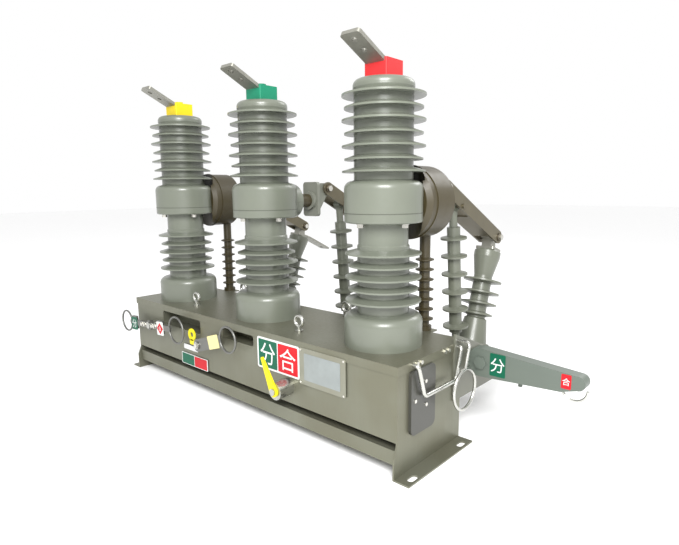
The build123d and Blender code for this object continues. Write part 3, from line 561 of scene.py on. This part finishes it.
class BREAKER_OT_lever_tags(bpy.types.Operator):
    """Add the tags and bolts of the front levers"""

    bl_idname = "breaker.lever_tags"
    bl_label = "Lever tags"

    def execute(self, context):
        rocker = "open_close_rocker"
        tag, ink, tag_height, tag_drop = 0.6, 0.3, 35, -3
        open_x, open_width, open_mark = -80, 31, 25
        close_x, close_width, close_mark, diamond_r = 58, 32, 13, 15
        face = lever_face(*ROCKER_PIVOT, ROCKER_LEAN)
        card("open_tag", face, open_width, tag_height, tag, "label_green", rocker, 3, open_x, tag_drop)
        mark("open_tag_mark", OPEN_MARK, face, open_mark, "label_white", rocker, open_x, tag_drop, tag)
        card("close_tag", face, close_width, tag_height, tag, "label_white", rocker, 3, close_x, tag_drop)
        diamond = Shape()
        diamond.prism(face, round_outline(diamond_r, 4, close_x, tag_drop), ink, tag)
        diamond.make("close_tag_ground", "label_red", rocker)
        top = tag + ink
        mark("close_tag_mark", CLOSE_MARK, face, close_mark, "label_white", rocker, close_x, tag_drop, top)
        bolts = Shape()
        for x in (-34, -20, 20, 32):
            bolts.bolt(face, across=9, head=4, washer_r=6, washer=1, x=x)
        bolts.make("rocker_bolts", "bright_bolt", rocker)

        lever = "charging_lever"
        width, height, sheet, x, y = 41, 31, 0.8, 70, 1
        face = lever_face(*CHARGING_PIVOT, CHARGING_LEAN)
        card("charging_tag", face, width, height, sheet, "label_cream", lever, 2, x, y)
        bolt = Shape()
        bolt.bolt(face, across=11, head=5, washer_r=8, washer=1)
        bolt.make("charging_bolt", "bright_bolt", lever)

        eye_r, ring_r, thickness, tab_width, tab_height, tab_drop = 6.5, 15, 2.5, 18, 13, -18
        face = face_at(*RING_TAG, RIGHT, FRONT)
        ring = Shape()
        ring.tube(face, eye_r, ring_r, thickness)
        ring.prism(face, card_outline(tab_width, tab_height, 3, 0, tab_drop), thickness)
        ring.make("ring_tag", "tag_yellow", "breaker")
        stem_r, stem_length = 3, 7.5
        stem = Shape()
        stem.prism(face_at(*RING_TAG_STEM, RIGHT, FRONT), round_outline(stem_r, 24), stem_length)
        stem.make("ring_tag_stem", "bright_bolt", "breaker")
        width, height = 62, 12
        face = face_at(*NOTE_PLATE, RIGHT, FRONT)
        card("note_plate", face, width, height, sheet, "label_white", "breaker", 2)
        return {"FINISHED"}


class BREAKER_OT_arm_labels(bpy.types.Operator):
    """Add the open and closed labels of the operating arm"""

    bl_idname = "breaker.arm_labels"
    bl_label = "Arm labels"

    def execute(self, context):
        arm, sheet = "operating_arm", 0.4
        for name, place, width, height, ground, words, size in (
            ("arm_open", ARM_OPEN_LABEL, 31, 44, "label_green", OPEN_MARK, 30),
            ("arm_close", ARM_CLOSE_LABEL, 17, 26, "label_red", CLOSE_MARK, 14),
        ):
            face = face_at(*place, RIGHT, FRONT)
            card(f"{name}_label", face, width, height, sheet, ground, arm, 2)
            mark(f"{name}_mark", words, face, size, "label_white", arm, 0, 0, sheet)
        return {"FINISHED"}


class BREAKER_OT_housing_fasteners(bpy.types.Operator):
    """Add the screws of the end strip and the bolts of the lid"""

    bl_idname = "breaker.housing_fasteners"
    bl_label = "Housing fasteners"

    def execute(self, context):
        screw_r, screw_head = 3.4, 2
        screws = Shape()
        for y, z in ((-24, 158), (-56, 130), (-22, 114)):
            screws.prism(face_at(END_STRIP_X, y, z, REAR, RIGHT), round_outline(screw_r, 20), screw_head)
        screws.make("end_strip_screws", "bright_bolt", "breaker")
        bolts = Shape()
        for y in (-46, -33, 46, 59):
            bolts.bolt(face_at(LID_END_X, y, LID_BOLT_Z, REAR, RIGHT), across=7, head=3)
        bolts.make("lid_bolts", "bright_bolt", "breaker")
        return {"FINISHED"}


class BREAKER_OT_pole_seams(bpy.types.Operator):
    """Add a dark ring of painted shade along the parting seam, and the bolts of the band of each pole"""

    bl_idname = "breaker.pole_seams"
    bl_label = "Pole seams"

    def execute(self, context):
        seam_inner, seam_outer, seam_width, seam_count = 72.4, 73.1, 1.6, 96
        bolt_circle = 57
        for phase, x in PHASES.items():
            # A thin dark ring along the parting seam of the band: painted shade of the seam
            seam = Shape()
            face = face_at(x, 0, BAND_SEAM_Z, RIGHT, UP)
            seam.tube(face, seam_inner, seam_outer, seam_width, count=seam_count)
            seam.make(f"pole_seam_{phase}", "seam_shadow", "breaker")
            bolts = Shape()
            for turn in (-99, -9, 171):
                angle = math.radians(turn)
                place = (x + bolt_circle * math.cos(angle), bolt_circle * math.sin(angle), BAND_BOTTOM)
                bolts.bolt(face_at(*place, RIGHT, DOWN), across=11, head=6, washer_r=7, washer=1.5)
            bolts.make(f"pole_band_bolts_{phase}", "bright_bolt", "breaker")
        return {"FINISHED"}


class BREAKER_OT_isolator_fasteners(bpy.types.Operator):
    """Add the bolts through the blades at their hinges and contacts"""

    bl_idname = "breaker.isolator_fasteners"
    bl_label = "Isolator fasteners"

    def execute(self, context):
        slope = math.radians(BLADE_SLOPE)
        pivot_y, pivot_z = BLADE_PIVOT
        contact = (pivot_y + BLADE_LENGTH * math.cos(slope), pivot_z - BLADE_LENGTH * math.sin(slope))
        half_width, washer_r, washer, nut_r, nut = 25, 10, 2, 7.5, 6
        for phase, x in PHASES.items():
            body = f"isolator_blade_{phase}"
            bright, dark = Shape(), Shape()
            for side in (-1, 1):
                for y, z in (BLADE_PIVOT, contact):
                    face = face_at(x + side * half_width, y, z, REAR, (side, 0, 0))
                    dark.prism(face, round_outline(washer_r, 28), washer)
                    bright.prism(face, round_outline(nut_r, 6), nut, washer)
            bright.make(f"blade_bolts_{phase}", "bright_bolt", body)
            dark.make(f"blade_washers_{phase}", "dark_bolt", body)
        return {"FINISHED"}


def soft_light(name, place, target, size, power):
    lamp = bpy.data.lights.new(name, "AREA")
    lamp.shape = "SQUARE"
    lamp.size = size
    lamp.energy = power
    stand = bpy.data.objects.new(name, lamp)
    stand.location = place
    stand.rotation_euler = (Vector(target) - Vector(place)).to_track_quat("-Z", "Y").to_euler()
    bpy.context.scene.collection.objects.link(stand)


class BREAKER_OT_stage(bpy.types.Operator):
    """Set the pale floor, the soft light and the camera"""

    bl_idname = "breaker.stage"
    bl_label = "Stage"

    def execute(self, context):
        scene = context.scene
        scene.view_settings.view_transform = "Standard"
        data = bpy.data.meshes.new("floor")
        reach, under = 14, 0.0005
        corners = [(-reach, -reach, 0), (reach, -reach, 0), (reach, reach, 0), (-reach, reach, 0)]
        data.from_pydata(corners, [], [(0, 1, 2, 3)])
        floor = bpy.data.objects.new("floor", data)
        floor.location.z = -under
        scene.collection.objects.link(floor)
        pale = Finish("floor_pale", roughness=0.9)
        pale.colour(tone(250, 250, 250))
        data.materials.append(pale.material)

        world = bpy.data.worlds.new("studio")
        world.use_nodes = True
        sky = world.node_tree.nodes["Background"]
        sky.inputs["Color"].default_value = (1, 1, 1, 1)
        sky.inputs["Strength"].default_value = 1
        scene.world = world
        middle = (MIDDLE_POLE_X / 1000, 0.1, 0.35)
        soft_light("key", (0.95, -1.3, 1.5), middle, size=1, power=76)
        soft_light("rim", (0.2, 2.6, 2.2), middle, size=1.4, power=26)

        lens = bpy.data.cameras.new("photo_view")
        lens.sensor_width = 36
        lens.lens = millimetres(scene.breaker_sizes.camera_lens)
        lens.clip_start = 0.02
        camera = bpy.data.objects.new("photo_view", lens)
        right, up = Vector((0.7392, 0.6734, -0.0096)), Vector((-0.0987, 0.1225, 0.9875))
        forward = Vector((-0.6662, 0.7290, -0.1570))
        turn = Matrix((right, up, -forward)).transposed().to_4x4()
        turn.translation = Vector((0.9380 + MIDDLE_POLE_X / 1000, -0.7768, 0.4935))
        camera.matrix_world = turn
        scene.collection.objects.link(camera)
        scene.camera = camera
        return {"FINISHED"}


OPERATORS = (
    BREAKER_OT_finishes,
    BREAKER_OT_front_labels,
    BREAKER_OT_lever_tags,
    BREAKER_OT_arm_labels,
    BREAKER_OT_housing_fasteners,
    BREAKER_OT_pole_seams,
    BREAKER_OT_isolator_fasteners,
    BREAKER_OT_stage,
)


class BREAKER_PT_panel(bpy.types.Panel):
    """Lists the steps that dress the breaker"""

    bl_idname = "BREAKER_PT_panel"
    bl_label = "Breaker"
    bl_space_type = "VIEW_3D"
    bl_region_type = "UI"
    bl_category = "Breaker"

    def draw(self, context):
        for operator in OPERATORS:
            self.layout.operator(operator.bl_idname)


CLASSES = (BREAKER_colours, BREAKER_sizes, *OPERATORS, BREAKER_PT_panel)


def register():
    for item in CLASSES:
        bpy.utils.register_class(item)
    bpy.types.Scene.breaker_colours = PointerProperty(type=BREAKER_colours)
    bpy.types.Scene.breaker_sizes = PointerProperty(type=BREAKER_sizes)


def unregister():
    del bpy.types.Scene.breaker_sizes
    del bpy.types.Scene.breaker_colours
    for item in reversed(CLASSES):
        bpy.utils.unregister_class(item)


def main():
    register()
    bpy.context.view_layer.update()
    bpy.ops.breaker.finishes()
    bpy.ops.breaker.front_labels()
    bpy.ops.breaker.lever_tags()
    bpy.ops.breaker.arm_labels()
    bpy.ops.breaker.housing_fasteners()
    bpy.ops.breaker.pole_seams()
    bpy.ops.breaker.isolator_fasteners()
    bpy.ops.breaker.stage()


if __name__ == "__main__":
    main()
